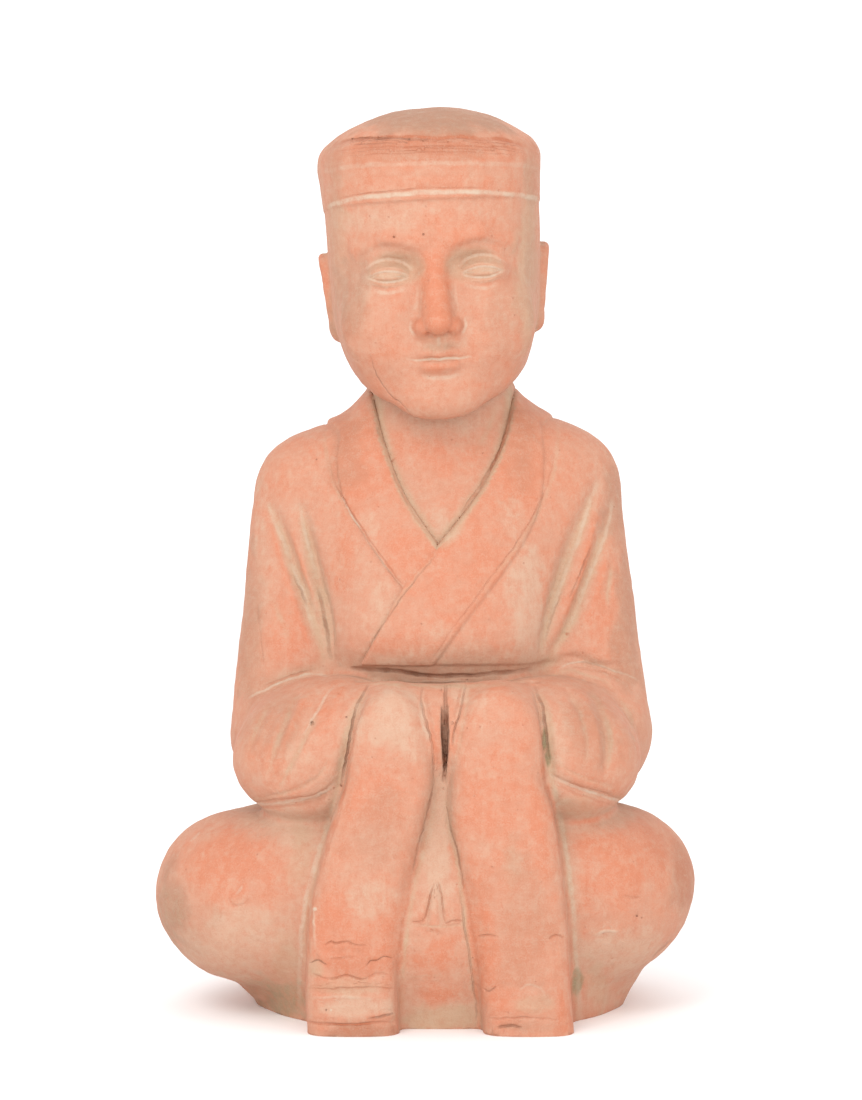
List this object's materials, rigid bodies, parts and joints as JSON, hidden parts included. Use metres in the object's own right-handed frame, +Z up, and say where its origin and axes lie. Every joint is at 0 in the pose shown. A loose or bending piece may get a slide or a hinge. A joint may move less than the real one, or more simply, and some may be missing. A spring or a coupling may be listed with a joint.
{
  "type": "seated figure",
  "caption": "Terracotta figure of a boy in a crossed-over robe and low round cap, sitting cross-legged with joined sleeves.",
  "frame": {"origin": "on the ground, on the flat underside, below the neck", "axes": "the figure faces -Y, +X is towards its own left hand, +Z is up"},
  "size_m": [0.3327, 0.2634, 0.5597],
  "materials": {
    "terracotta": "matte"
  },
  "bodies": {
    "root": {"seated_figure": "terracotta"}
  },
  "joints": []
}
